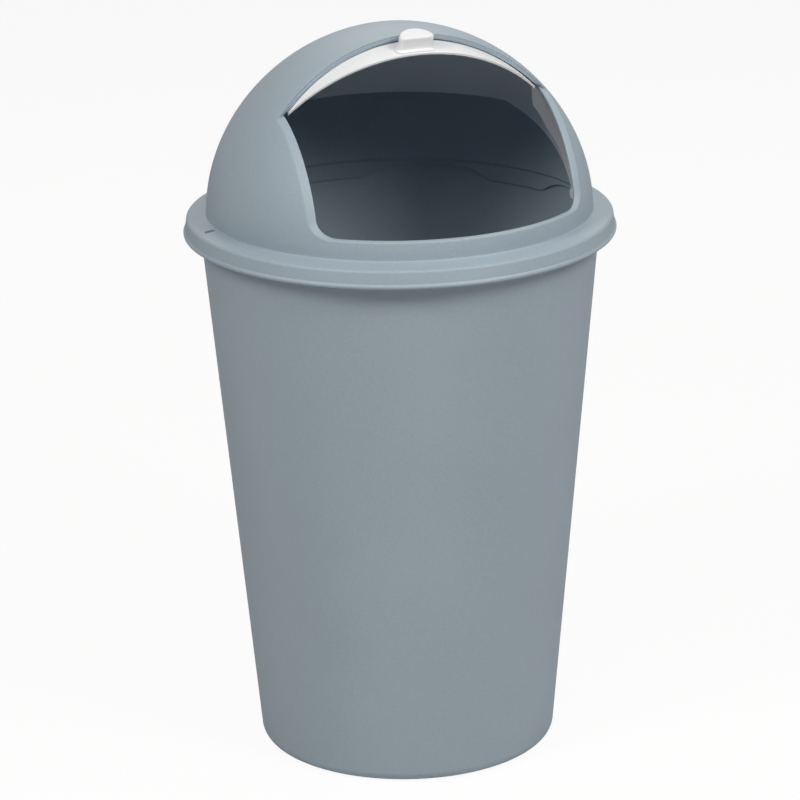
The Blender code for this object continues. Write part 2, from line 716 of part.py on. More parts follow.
def half_disc(name, radius, front, low, high, corner, edge, collection, material=None):
    """Half-round block in the grip's frame, flat side to the front, top edge rounded over."""
    bm = bmesh.new()
    outline = [(radius - corner, front)]
    outline += [(radius * cos(pi * i / SMALL_STEPS), front + radius * sin(pi * i / SMALL_STEPS))
                for i in range(SMALL_STEPS + 1) if radius * sin(pi * i / SMALL_STEPS) > corner]
    outline += [(corner - radius, front)]
    face = bm.faces.new([bm.verts.new((x, y, low)) for x, y in outline])
    made = bmesh.ops.extrude_face_region(bm, geom=[face])
    raised = [v for v in made["geom"] if isinstance(v, bmesh.types.BMVert)]
    bmesh.ops.translate(bm, verts=raised, vec=(0, 0, high - low))
    bmesh.ops.recalc_face_normals(bm, faces=bm.faces)
    if edge:
        rim = [e for e in bm.edges if all(v in raised for v in e.verts)]
        bmesh.ops.bevel(bm, geom=rim, offset=edge, segments=2, profile=0.5, affect="EDGES")
    bmesh.ops.transform(bm, verts=bm.verts, matrix=grip_frame())
    return place(name, mesh_from(bm, name), collection, material)


def crown_cutter(name, gap, cutters):
    """Solid of the crown's outer face, grown by a gap, that shapes the grip's underside."""
    steps = 2 * SMALL_STEPS
    span = 2 * GRIP_RADIUS
    profile = [(0, span)]
    for i in range(2 * CROWN_COLUMNS + 1):
        x = span * (1 - i / CROWN_COLUMNS)
        profile.append((crown_turn(x) + gap, x))
    profile.append((0, -span))
    cutter = turned(name, profile, cutters, steps=2 * steps)
    cutter.matrix_world = Matrix.Translation((0, 0, PIVOT_Z)) @ Matrix.Rotation(pi / 2, 4, "Y")
    return as_guide(freeze(cutter))


def make_grip(pieces, cutters, material):
    base = CROWN_RADIUS - OVERRUN
    top = CROWN_RADIUS + GRIP_HEIGHT
    grip = half_disc("visor_grip", GRIP_RADIUS, GRIP_SETBACK, base, top, GRIP_CORNER, GRIP_EDGE,
                     pieces, material)
    hollow = half_disc("grip_hollow", GRIP_RADIUS - GRIP_WALL - GRIP_WALL / 2,
                       GRIP_SETBACK + GRIP_WALL, base - OVERRUN, top - GRIP_WALL,
                       GRIP_CORNER - GRIP_WALL, 0, cutters)
    combine(grip, as_guide(hollow), "DIFFERENCE")
    frame = grip_frame()
    for x, y in grip_places():
        post = rod("grip_post", POST_RADIUS, frame @ Vector((x, y, base)),
                   frame @ Vector((x, y, top - GRIP_WALL / 2)), cutters, SMALL_STEPS // 2)
        combine(grip, post, "UNION")
    combine(grip, crown_cutter("grip_seat", GRIP_SEAT_GAP, cutters), "DIFFERENCE")
    peg_end = CROWN_RADIUS - VISOR_WALL - PEG_PROUD
    for x, y in grip_places():
        sag = CROWN_RADIUS - sqrt(crown_turn(x) ** 2 - y ** 2)
        peg = rod("grip_peg", PEG_RADIUS, frame @ Vector((x, y, peg_end - sag)),
                  frame @ Vector((x, y, CROWN_RADIUS + GRIP_HEIGHT / 2)), cutters,
                  SMALL_STEPS // 2)
        combine(grip, peg, "UNION")
    freeze(grip)
    smooth(grip.data)
    set_origin(grip, (0, 0, PIVOT_Z))
    return grip


def main():
    clear_scene()
    pieces = new_collection("dome_top_waste_bin")
    cutters = new_collection("cutters")
    grey = plastic("grey_polypropylene", (0.238, 0.279, 0.309), 0.55)
    white = plastic("white_polypropylene", (0.86, 0.87, 0.86), 0.45)
    make_body(pieces, grey)
    make_hood(pieces, cutters, grey)
    make_visor(pieces, cutters, white)
    make_grip(pieces, cutters, white)
    bpy.context.view_layer.update()


main()
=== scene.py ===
"""Dome-top kitchen waste bin: the finished look of each moulding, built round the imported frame.

Each operator in the sidebar makes one moulding or the stage, in the frame's own metres.
"""

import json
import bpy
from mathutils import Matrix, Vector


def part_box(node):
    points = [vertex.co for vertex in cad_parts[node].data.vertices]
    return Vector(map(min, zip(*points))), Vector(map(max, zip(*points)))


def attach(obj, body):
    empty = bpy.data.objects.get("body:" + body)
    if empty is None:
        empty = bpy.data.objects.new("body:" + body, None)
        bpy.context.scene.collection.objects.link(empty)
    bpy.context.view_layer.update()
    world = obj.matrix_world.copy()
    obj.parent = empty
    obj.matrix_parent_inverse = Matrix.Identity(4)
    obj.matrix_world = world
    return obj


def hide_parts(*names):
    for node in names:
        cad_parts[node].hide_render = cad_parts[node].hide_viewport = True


bl_info = {
    "name": "Dome-top waste bin",
    "version": (1, 0, 0),
    "blender": (4, 5, 0),
    "location": "View3D > Sidebar > Waste bin",
    "description": "Tapered bin body, dome hood, roll-back visor and grip, with a studio stage",
    "category": "Add Mesh",
}

from math import asin, atan2, cos, degrees, pi, radians, sin, sqrt, tan

import bmesh
import bpy
from bpy.props import FloatProperty, FloatVectorProperty, IntProperty, PointerProperty
from mathutils import Matrix, Vector

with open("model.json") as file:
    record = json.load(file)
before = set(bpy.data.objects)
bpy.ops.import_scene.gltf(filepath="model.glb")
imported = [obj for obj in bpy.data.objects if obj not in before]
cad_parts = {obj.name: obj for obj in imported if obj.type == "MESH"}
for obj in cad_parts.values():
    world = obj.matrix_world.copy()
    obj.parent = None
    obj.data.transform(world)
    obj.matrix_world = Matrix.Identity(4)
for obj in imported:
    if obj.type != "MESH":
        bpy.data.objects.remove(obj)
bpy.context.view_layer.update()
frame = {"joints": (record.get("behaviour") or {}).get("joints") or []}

AXLE_Z = next(j["pos_m"][2] for j in frame["joints"] if j["name"] == "visor_turn")
RIM_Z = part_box("bin_body")[1].z
DOME_TOP_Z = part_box("dome_hood")[1].z
HOOD_FOOT_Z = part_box("dome_hood")[0].z


class WasteBinSizes(bpy.types.PropertyGroup):
    """Sizes of the mouldings, in metres."""

    foot_radius: FloatProperty(name="Foot radius", default=0.1386, unit="LENGTH",
                               description="Outer radius of the body at the floor")
    mouth_radius: FloatProperty(name="Mouth radius", default=0.1851, unit="LENGTH",
                                description="Outer radius of the body's wall at the rim")
    body_wall: FloatProperty(name="Body wall", default=0.0022, unit="LENGTH",
                             description="Thickness of the body's wall")
    dome_radius: FloatProperty(name="Dome radius", default=0.1785, unit="LENGTH",
                               description="Outer radius of the dome where it meets the flange")
    dome_rise: FloatProperty(name="Dome rise", default=0.17261, unit="LENGTH",
                             description="Height of the dome above the flange")
    hood_wall: FloatProperty(name="Hood wall", default=0.0020, unit="LENGTH",
                             description="Thickness of the hood's wall")
    edge_round: FloatProperty(name="Lip rounding", default=0.0009, unit="LENGTH",
                              description="Radius of the soft edge round the opening")
    crown_radius: FloatProperty(name="Visor radius", default=0.17201, unit="LENGTH",
                                description="Radius of the visor about its axle")
    visor_wall: FloatProperty(name="Visor wall", default=0.0018, unit="LENGTH",
                              description="Thickness of the visor's wall")
    grip_radius: FloatProperty(name="Grip radius", default=0.0173, unit="LENGTH",
                               description="Radius of the half-round grip")
    round_steps: IntProperty(name="Steps round", default=192, min=48,
                             description="Faces round each turned moulding")


class WasteBinFinishes(bpy.types.PropertyGroup):
    """Colours and grain of the two plastics."""

    grey: FloatVectorProperty(name="Grey plastic", subtype="COLOR", size=3, min=0, max=1,
                              default=(0.333, 0.410, 0.481),
                              description="Colour of the body and hood")
    white: FloatVectorProperty(name="White plastic", subtype="COLOR", size=3, min=0, max=1,
                               default=(0.81, 0.835, 0.872),
                               description="Colour of the visor and grip")
    grain_size: FloatProperty(name="Grain size", default=0.0021, unit="LENGTH",
                              description="Size of the fine moulded grain")
    grain_depth: FloatProperty(name="Grain depth", default=0.00016, unit="LENGTH",
                               description="Depth of the fine moulded grain")


def crease_z():
    """Height of the crease where the dome meets the flange."""
    return DOME_TOP_Z - bpy.context.scene.bin_sizes.dome_rise


# Modelling helpers

# Points nearer than this are one point
NEAR = 0.00001
# A cutting tool reaches this far past the piece
CLEAR = 0.01
SMOOTH_ANGLE = 32


def deselect():
    if bpy.context.object and bpy.context.object.mode != "OBJECT":
        bpy.ops.object.mode_set(mode="OBJECT")
    bpy.ops.object.select_all(action="DESELECT")


def pick(obj):
    """Selects one object alone and makes it the active one."""
    deselect()
    obj.select_set(True)
    bpy.context.view_layer.objects.active = obj


def draw_line(name, points, closed):
    """Draws a line in space by extruding one vertex from point to point."""
    deselect()
    points = [Vector(p) for p in points]
    bpy.ops.mesh.primitive_plane_add(size=0.001, location=points[0])
    line = bpy.context.object
    line.name = name
    bpy.ops.object.mode_set(mode="EDIT")
    bpy.ops.mesh.select_mode(type="VERT")
    bpy.ops.mesh.select_all(action="SELECT")
    bpy.ops.mesh.merge(type="CENTER")
    for here, there in zip(points, points[1:]):
        bpy.ops.mesh.extrude_region_move(TRANSFORM_OT_translate={"value": there - here})
    if closed:
        bpy.ops.object.mode_set(mode="OBJECT")
        last = len(line.data.vertices) - 1
        for vertex in line.data.vertices:
            vertex.select = vertex.index in (0, last)
        bpy.ops.object.mode_set(mode="EDIT")
        bpy.ops.mesh.edge_face_add()
    return line


def spin_line(name, points, axis, centre, steps, closed):
    """Spins a drawn line about an axis into a shell, its seam welded and its faces outwards."""
    shell = draw_line(name, points, closed)
    bpy.ops.mesh.select_all(action="SELECT")
    bpy.ops.mesh.spin(steps=steps, angle=2 * pi, center=centre, axis=axis, dupli=False)
    bpy.ops.mesh.select_all(action="SELECT")
    bpy.ops.mesh.remove_doubles(threshold=NEAR)
    bpy.ops.mesh.normals_make_consistent(inside=False)
    settle(shell)
    return shell


def settle(obj):
    """Puts an object's place into its mesh and leaves edit mode."""
    pick(obj)
    bpy.ops.object.transform_apply(location=True, rotation=True, scale=True)
    return obj


def apply(obj, modifier):
    """Applies one modifier of a piece."""
    pick(obj)
    bpy.ops.object.modifier_apply(modifier=modifier)


def combine(obj, tool, operation):
    """Joins a tool to a piece, or cuts the piece with it, and clears the tool away."""
    pick(obj)
    bpy.ops.object.modifier_add(type="BOOLEAN")
    modifier = obj.modifiers[-1]
    modifier.operation = operation
    modifier.solver = "EXACT"
    modifier.object = tool
    apply(obj, modifier.name)
    bpy.data.objects.remove(tool, do_unlink=True)
    if not obj.data.polygons:
        raise RuntimeError(f"{operation} left nothing of {obj.name}")


def bridge(bm, here, there):
    """Faces between two rings that have the same count of points."""
    for i in range(len(here)):
        after = (i + 1) % len(here)
        bm.faces.new((here[i], here[after], there[after], there[i]))


def add_shell(name, bm):
    """Turns the faces of a loft outwards and makes an object of it."""
    bmesh.ops.recalc_face_normals(bm, faces=bm.faces)
    mesh = bpy.data.meshes.new(name)
    bm.to_mesh(mesh)
    bm.free()
    shell = bpy.data.objects.new(name, mesh)
    bpy.context.scene.collection.objects.link(shell)
    return shell


def ring_of_sections(name, sections):
    """A closed hoop lofted through sections that all have the same count of points."""
    bm = bmesh.new()
    rings = [[bm.verts.new(p) for p in section] for section in sections]
    for here, there in zip(rings, rings[1:] + rings[:1]):
        bridge(bm, here, there)
    return add_shell(name, bm)


def pin(name, radius, start, end, vertices=48):
    """A round pin or bore between two points."""
    deselect()
    start, end = Vector(start), Vector(end)
    turn = Vector((0, 0, 1)).rotation_difference(end - start).to_euler()
    bpy.ops.mesh.primitive_cylinder_add(vertices=vertices, radius=radius,
                                        depth=(end - start).length,
                                        location=(start + end) / 2, rotation=turn)
    rod = bpy.context.object
    rod.name = name
    return settle(rod)


def slab(name, low, high):
    """A block between two corners."""
    deselect()
    low, high = Vector(low), Vector(high)
    bpy.ops.mesh.primitive_cube_add(size=1, location=(low + high) / 2, scale=high - low)
    block = bpy.context.object
    block.name = name
    return settle(block)


def prism(name, corners, low_x, high_x):
    """A prism along X over a polygon of (y, z) corners."""
    flat = draw_line(name, [(low_x, y, z) for y, z in corners], True)
    bpy.ops.mesh.select_all(action="SELECT")
    bpy.ops.mesh.edge_face_add()
    bpy.ops.mesh.extrude_region_move(TRANSFORM_OT_translate={"value": (high_x - low_x, 0, 0)})
    bpy.ops.mesh.select_all(action="SELECT")
    bpy.ops.mesh.normals_make_consistent(inside=False)
    return settle(flat)


def finish_piece(obj, node, body, material):
    """Shades a piece, dresses it, and ties it to the body that it rides on."""
    pick(obj)
    bpy.ops.object.shade_smooth_by_angle(angle=radians(SMOOTH_ANGLE))
    obj.data.materials.clear()
    obj.data.materials.append(material)
    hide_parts(node)
    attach(obj, body)


def arc(centre, radius, start, end, steps):
    """Points on a round corner, angles in degrees, both ends included."""
    return [(centre[0] + radius * cos(radians(start + (end - start) * i / steps)),
             centre[1] + radius * sin(radians(start + (end - start) * i / steps)))
            for i in range(steps + 1)]


def inset(points, wall):
    """The same open line moved sideways by a wall, with its corners mitred."""
    moved = []
    for i, (r, z) in enumerate(points):
        before, after = points[max(i - 1, 0)], points[min(i + 1, len(points) - 1)]
        normals = []
        for start, end in ((before, (r, z)), ((r, z), after)):
            run, rise = end[0] - start[0], end[1] - start[1]
            length = sqrt(run ** 2 + rise ** 2)
            if length > NEAR / 10:
                normals.append((rise / length, -run / length))
        nr = sum(n[0] for n in normals) / len(normals)
        nz = sum(n[1] for n in normals) / len(normals)
        size = nr ** 2 + nz ** 2
        moved.append((r + wall * nr / size, z + wall * nz / size))
    return moved


# Finishes

def moulded_grain():
    """Node group: fine spark-eroded grain, faint flow clouding and a bump height."""
    found = bpy.data.node_groups.get("moulded_grain")
    if found:
        return found
    tree = bpy.data.node_groups.new("moulded_grain", "ShaderNodeTree")
    tree.interface.new_socket(name="Colour", in_out="INPUT", socket_type="NodeSocketColor")
    for name in ("Grain Size", "Grain Depth", "Clouding", "Roughness", "Roughness Spread"):
        tree.interface.new_socket(name=name, in_out="INPUT", socket_type="NodeSocketFloat")
    tree.interface.new_socket(name="Colour", in_out="OUTPUT", socket_type="NodeSocketColor")
    for name in ("Roughness", "Height"):
        tree.interface.new_socket(name=name, in_out="OUTPUT", socket_type="NodeSocketFloat")
    nodes, links = tree.nodes, tree.links
    given, out = nodes.new("NodeGroupInput"), nodes.new("NodeGroupOutput")
    place = nodes.new("ShaderNodeTexCoord")
    fine_share, pit_share, pit_scale, speck_gain, middle = 0.65, 0.35, 0.8, 1.9, 0.5

    def maths(operation, first, second):
        node = nodes.new("ShaderNodeMath")
        node.operation = operation
        for port, value in zip(node.inputs, (first, second)):
            if isinstance(value, (int, float)):
                port.default_value = value
            else:
                links.new(value, port)
        return node.outputs[0]

    per_metre = maths("DIVIDE", 1, given.outputs["Grain Size"])
    fine = nodes.new("ShaderNodeTexNoise")
    fine.inputs["Detail"].default_value = 3
    fine.inputs["Roughness"].default_value = 0.62
    links.new(place.outputs["Object"], fine.inputs["Vector"])
    links.new(per_metre, fine.inputs["Scale"])
    pits = nodes.new("ShaderNodeTexVoronoi")
    pits.feature = "SMOOTH_F1"
    pits.inputs["Smoothness"].default_value = 0.7
    links.new(place.outputs["Object"], pits.inputs["Vector"])
    links.new(maths("MULTIPLY", per_metre, pit_scale), pits.inputs["Scale"])
    cloud = nodes.new("ShaderNodeTexNoise")
    cloud.inputs["Scale"].default_value = 9
    cloud.inputs["Detail"].default_value = 4
    links.new(place.outputs["Object"], cloud.inputs["Vector"])

    grain = maths("ADD", maths("MULTIPLY", fine.outputs[0], fine_share),
                  maths("MULTIPLY", pits.outputs["Distance"], pit_share))
    links.new(maths("MULTIPLY", grain, given.outputs["Grain Depth"]), out.inputs["Height"])

    mottle = maths("SUBTRACT", cloud.outputs[0], middle)
    speck = maths("MULTIPLY", maths("SUBTRACT", fine.outputs[0], middle), speck_gain)
    shade = maths("ADD", 1, maths("MULTIPLY", maths("ADD", mottle, speck),
                                  given.outputs["Clouding"]))
    tint = nodes.new("ShaderNodeVectorMath")
    tint.operation = "SCALE"
    links.new(given.outputs["Colour"], tint.inputs[0])
    links.new(shade, tint.inputs["Scale"])
    links.new(tint.outputs[0], out.inputs["Colour"])
    sheen = maths("MULTIPLY", mottle, given.outputs["Roughness Spread"])
    links.new(maths("ADD", given.outputs["Roughness"], sheen), out.inputs["Roughness"])
    return tree


def moulded_plastic(name, colour, size, depth, clouding, roughness, spread):
    """A moulded plastic whose colour, roughness and bump come from the grain group."""
    found = bpy.data.materials.get(name)
    if found:
        return found
    made = bpy.data.materials.new(name)
    made.use_nodes = True
    nodes, links = made.node_tree.nodes, made.node_tree.links
    shader = nodes["Principled BSDF"]
    shader.inputs["Metallic"].default_value = 0
    shader.inputs["IOR"].default_value = 1.49
    grain = nodes.new("ShaderNodeGroup")
    grain.node_tree = moulded_grain()
    for port, value in (("Colour", (*colour, 1)), ("Grain Size", size), ("Grain Depth", depth),
                        ("Clouding", clouding), ("Roughness", roughness),
                        ("Roughness Spread", spread)):
        grain.inputs[port].default_value = value
    bump = nodes.new("ShaderNodeBump")
    bump.inputs["Strength"].default_value = 1
    bump.inputs["Distance"].default_value = 1
    links.new(grain.outputs["Colour"], shader.inputs["Base Color"])
    links.new(grain.outputs["Roughness"], shader.inputs["Roughness"])
    links.new(grain.outputs["Height"], bump.inputs["Height"])
    links.new(bump.outputs["Normal"], shader.inputs["Normal"])
    return made


def grey_plastic():
    """The grained grey of the body and hood."""
    look = bpy.context.scene.bin_finishes
    return moulded_plastic("grey_grained_plastic", look.grey, look.grain_size, look.grain_depth,
                           clouding=0.12, roughness=0.50, spread=0.10)


def white_plastic():
    """The smooth white of the visor and grip."""
    look = bpy.context.scene.bin_finishes
    return moulded_plastic("white_smooth_plastic", look.white, 2 * look.grain_size,
                           look.grain_depth / 4, clouding=0.015, roughness=0.50,
                           spread=0.06)


# Body

def body_section(sizes):
    """Section of the tub, from the middle of the floor up, over the rim and down outside."""
    lean = atan2(sizes.mouth_radius - sizes.foot_radius, RIM_Z)
    side = degrees(lean)
    foot_fillet, floor_fillet, rim_fillet = 0.0117, 0.0080, 0.0026
    recess, ring_width, lip_depth, chamfer = 0.0040, 0.0100, 0.0085, 0.0003
    rim_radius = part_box("bin_body")[1].x
    wall = sizes.body_wall
    foot_x = sizes.foot_radius - foot_fillet * tan((pi / 2 - lean) / 2)
    inner_step = wall / cos(lean)
    floor_z = recess + wall
    inner_foot = sizes.foot_radius + floor_z * tan(lean) - inner_step
    floor_x = inner_foot - floor_fillet * tan((pi / 2 - lean) / 2)
    mouth = sizes.mouth_radius - inner_step
    corner = rim_fillet + wall
    mouth_x = mouth + corner * tan((pi / 2 - lean) / 2)
    lip_z, under_z = RIM_Z - lip_depth, RIM_Z - wall
    lip_inner = rim_radius - wall
    outer_under = sizes.mouth_radius - wall * tan(lean) + rim_fillet * tan((pi / 2 + lean) / 2) / 2
    points = [(0, floor_z), (inner_foot / 3, floor_z), (2 * inner_foot / 3, floor_z)]
    points += arc((floor_x, floor_z + floor_fillet), floor_fillet, -90, -side, 8)
    points += arc((mouth_x, RIM_Z - corner), corner, 180 - side, 90, 8)
    points += arc((rim_radius - rim_fillet, RIM_Z - rim_fillet), rim_fillet, 90, 0, 8)
    points += arc((rim_radius - wall / 2, lip_z + wall / 4), wall / 2, -10, -170, 6)
    points += [(lip_inner, under_z - chamfer), (lip_inner - chamfer, under_z)]
    points += arc((outer_under, under_z - rim_fillet / 2), rim_fillet / 2, 90, 180 - side, 4)
    points += arc((foot_x, foot_fillet), foot_fillet, -side, -90, 14)
    inner_ring = foot_x - ring_width
    points += [(inner_ring, 0), (inner_ring - recess, recess), (inner_ring / 2, recess),
               (0, recess)]
    return points


class WASTEBIN_OT_body(bpy.types.Operator):
    """Spins the tapered body with its floor, foot ring and rolled rim"""

    bl_idname = "wastebin.body"
    bl_label = "Bin body"

    def execute(self, context):
        sizes = context.scene.bin_sizes
        section = [(r, 0, z) for r, z in body_section(sizes)]
        tub = spin_line("tapered_body", section, (0, 0, 1), (0, 0, 0), sizes.round_steps, False)
        finish_piece(tub, "bin_body", "bin", grey_plastic())
        return {"FINISHED"}


# Hood

FULLNESS = 1.035
HALF_OPENING = 0.1317
SILL = 0.0168
SILL_CORNER = 0.0150
BROW_RISE = 0.16898
BROW_SETBACK = 0.0292
BROW_LEAN = 9.9
LUG_RADIUS = 0.0054
LUG_BURIED = 0.0004
LUG_END = 0.1816
BORE_RADIUS = 0.0033
BORE_END = 0.1834
SLOT_START = 0.1800
SLOT_END = 0.1895
SLOT_HALF_WIDTH = 0.00275
SLOT_DEPTH = 0.0049
LIP_SEAT = 0.0006


def dome_reach(height, sizes):
    """Outer radius of the dome at a height above its crease."""
    rise = min(max(height / sizes.dome_rise, 0), 1)
    return sizes.dome_radius * cos(asin(rise ** (1 / FULLNESS))) ** FULLNESS


def dome_slant(height, sizes):
    """Cosine of how far the dome's face leans from upright, at a height above its crease."""
    reach = 0.0002
    low, high = max(height - reach, 0), min(height + reach, sizes.dome_rise)
    change = (dome_reach(high, sizes) - dome_reach(low, sizes)) / (high - low)
    return 1 / sqrt(1 + change ** 2)


def hood_section(sizes):
    """Section of the dome, flange and skirt: down the outside, then back up the inside."""
    crease = crease_z()
    rows = 56
    outer = []
    for i in range(rows):
        angle = pi / 2 * (1 - i / rows)
        outer.append((sizes.dome_radius * max(cos(angle), 0) ** FULLNESS,
                      crease + sizes.dome_rise * sin(angle) ** FULLNESS))
    fillet, flange_width, fall, corner, shoulder = 0.0016, 0.0187, 0.0029, 0.0030, 0.0003
    slope = degrees(atan2(fall, flange_width))
    skirt_spread, skirt_drop = 0.0013, 0.0166
    flare = degrees(atan2(skirt_spread, skirt_drop))
    root_z = crease - fillet * tan(radians(slope)) + fillet / cos(radians(slope))
    outer = [p for p in outer if p[1] > root_z + fillet / 2]
    outer += arc((sizes.dome_radius + fillet, root_z), fillet, 180, 270 - slope, 5)
    rim = sizes.dome_radius + flange_width
    outer += arc((rim - corner, crease - fall - corner + shoulder), corner, 90 - slope, flare, 8)
    bead, bead_out, bead_top = 0.0022, 0.0006, 0.0030
    bead_z = HOOD_FOOT_Z + bead
    neck = ((0.0010, 0.0040), (0.0012, 0.0024))
    outer += [(rim + out, bead_z + up) for out, up in neck]
    outer += arc((rim + bead_out, bead_z), bead, 50, -78, 9)
    outer[-1] = (outer[-1][0], HOOD_FOOT_Z)
    plain = [p for p in outer if p[1] > bead_z + bead_top]
    inner = inset(plain, sizes.hood_wall)
    inner[0] = (0, DOME_TOP_Z - sizes.hood_wall)
    edge = 0.0004
    inner += [(inner[-1][0] + edge, HOOD_FOOT_Z + edge), (inner[-1][0] + 2 * edge, HOOD_FOOT_Z)]
    return outer + inner[::-1]


def opening_outline(sizes, half_width, sill, brow_shift, corner, depth, brow_drop=0):
    """Points round the opening on the dome's face, at a depth below it, always as many."""
    lean, crease = tan(radians(BROW_LEAN)), crease_z()
    across, upright, bend, halvings = 40, 24, 12, 40

    def reach(z):
        return dome_reach(z, sizes) - depth / dome_slant(z, sizes)

    def brow(z):
        return -BROW_SETBACK + brow_shift - lean * (BROW_RISE - z)

    def on_brow(x):
        deep = depth + brow_drop * (1 - (x / half_width) ** 2)
        low, high = SILL, sizes.dome_rise - deep
        for _ in range(halvings):
            z = (low + high) / 2
            radius = dome_reach(z, sizes) - deep / dome_slant(z, sizes)
            if radius <= 0 or radius ** 2 - x ** 2 < min(brow(z), 0) ** 2:
                high = z
            else:
                low = z
        return Vector((x, brow(z), crease + z))

    top = on_brow(half_width).z - crease
    flat, low = half_width - corner, sill + corner
    points = [(flat * i / across, sill) for i in range(across + 1)]
    points += arc((flat, low), corner, -90, 0, bend)[1:]
    points += [(half_width, low + (top - low) * i / upright) for i in range(1, upright)]
    right = [Vector((x, -sqrt(reach(z) ** 2 - x ** 2), crease + z)) for x, z in points]
    right += [on_brow(half_width * (1 - i / across)) for i in range(across + 1)]
    return right + [Vector((-p.x, p.y, p.z)) for p in reversed(right[1:-1])]


def opening_wedge(sizes, grow):
    """The wedge that cuts the opening: its outline drawn in front, cut off by the brow's plane."""
    outline = opening_outline(sizes, HALF_OPENING + grow, SILL - grow, grow, SILL_CORNER + grow, 0)
    low = [p for p in outline if p.z < crease_z() + SILL + SILL_CORNER + NEAR]
    ends = [p for p in low if abs(p.x) > HALF_OPENING - SILL_CORNER - NEAR]
    ends.sort(key=lambda p: (p.x, -p.z if p.x < 0 else p.z))
    high = DOME_TOP_Z + 2 * CLEAR
    front = -(sizes.dome_radius + 2 * CLEAR)
    half = HALF_OPENING + grow
    points = [(-half, front, high)] + [(p.x, front, p.z) for p in ends] + [(half, front, high)]
    wedge = draw_line("opening_wedge", points, True)
    bpy.ops.mesh.select_all(action="SELECT")
    bpy.ops.mesh.edge_face_add()
    bpy.ops.mesh.extrude_region_move(TRANSFORM_OT_translate={"value": (0, 2 * -front, 0)})
    bpy.ops.mesh.select_all(action="SELECT")
    lean = radians(BROW_LEAN)
    plane = Vector((0, -BROW_SETBACK + grow, crease_z() + BROW_RISE))
    bpy.ops.mesh.bisect(plane_co=plane, plane_no=(0, cos(lean), -sin(lean)), use_fill=True,
                        clear_outer=True)
    bpy.ops.mesh.select_all(action="SELECT")
    bpy.ops.mesh.normals_make_consistent(inside=False)
    return settle(wedge)


def opening_lip(sizes):
    """The rolled-in lip round the opening, with a leg that lies inside the dome's wall."""
    soft, leg, sunk, wall = sizes.edge_round, 0.0036, 0.00008, sizes.hood_wall
    side, rise, drift, deep, drop = 0.0073, 0.0016, 0.0026, 0.0035, 0.0017
    tip, bulge, heel, heel_depth, leg_depth = 0.0006, 0.3, 0.7, 0.9, 0.8

    def grown(by, depth):
        return opening_outline(sizes, HALF_OPENING + by, SILL - by, by, SILL_CORNER + by, depth)

    leg_row, start_row, corner_row = grown(leg, sunk), grown(soft, sunk), grown(0, sunk)
    end_row = opening_outline(sizes, HALF_OPENING - side, SILL + rise, drift,
                              SILL_CORNER - rise, deep, drop)
    back_row = grown(leg, leg_depth * wall)
    sections = []
    count = len(corner_row)
    for i in range(count):
        leg_point, start, corner, end, back = (row[i] for row in (
            leg_row, start_row, corner_row, end_row, back_row))
        along = (corner_row[(i + 1) % count] - corner_row[i - 1]).normalized()
        band = (end - corner).normalized()
        under = along.cross(band).normalized()
        if under.dot(Vector((0, 0, AXLE_Z)) - corner) < 0:
            under = -under
        after = corner + band * soft
        section = [leg_point, start]
        for step in (0.25, 0.5, 0.75):
            section.append(start * (1 - step) ** 2 + corner * (2 * step * (1 - step))
                           + after * step ** 2)
        section.append(after)
        section += [end - band * tip, end - band * (bulge * tip) + under * (bulge * tip),
                    end + under * tip, end + under * (wall - tip),
                    end - band * (bulge * tip) + under * (wall - bulge * tip),
                    end - band * tip + under * wall]
        section += [corner + band * (wall * heel) + under * (wall * heel_depth), back]
        sections.append(section)
    return ring_of_sections("opening_lip", sections)


def tab_ring():
    """The ring under the dome, cut into six centring tabs with hollow-sided notches."""
    crease = crease_z()
    inner, wall, edge, buried = 0.1792, 0.0020, 0.0004, 0.0012
    full, root, tip, foot = 0.0180, 0.0062, 0.343, 0.707
    steps = 216
    top = Vector((0, 0, crease - buried))

    def hang(angle):
        share = abs(((angle / (pi / 6)) + 1) % 2 - 1)
        if share <= tip:
            return full
        if share >= foot:
            return root
        return root + (full - root) * ((foot - share) / (foot - tip)) ** 2

    sections = []
    for i in range(steps):
        turn = 2 * pi * (i + 0.5) / steps
        out = Vector((cos(turn + pi / 2), sin(turn + pi / 2), 0))
        low = crease - hang(turn)
        sections.append([out * inner + top, out * (inner + wall) + top,
                         out * (inner + wall) + Vector((0, 0, low + edge)),
                         out * (inner + wall - edge) + Vector((0, 0, low)),
                         out * (inner + edge) + Vector((0, 0, low)),
                         out * inner + Vector((0, 0, low + edge))])
    return ring_of_sections("tab_ring", sections)


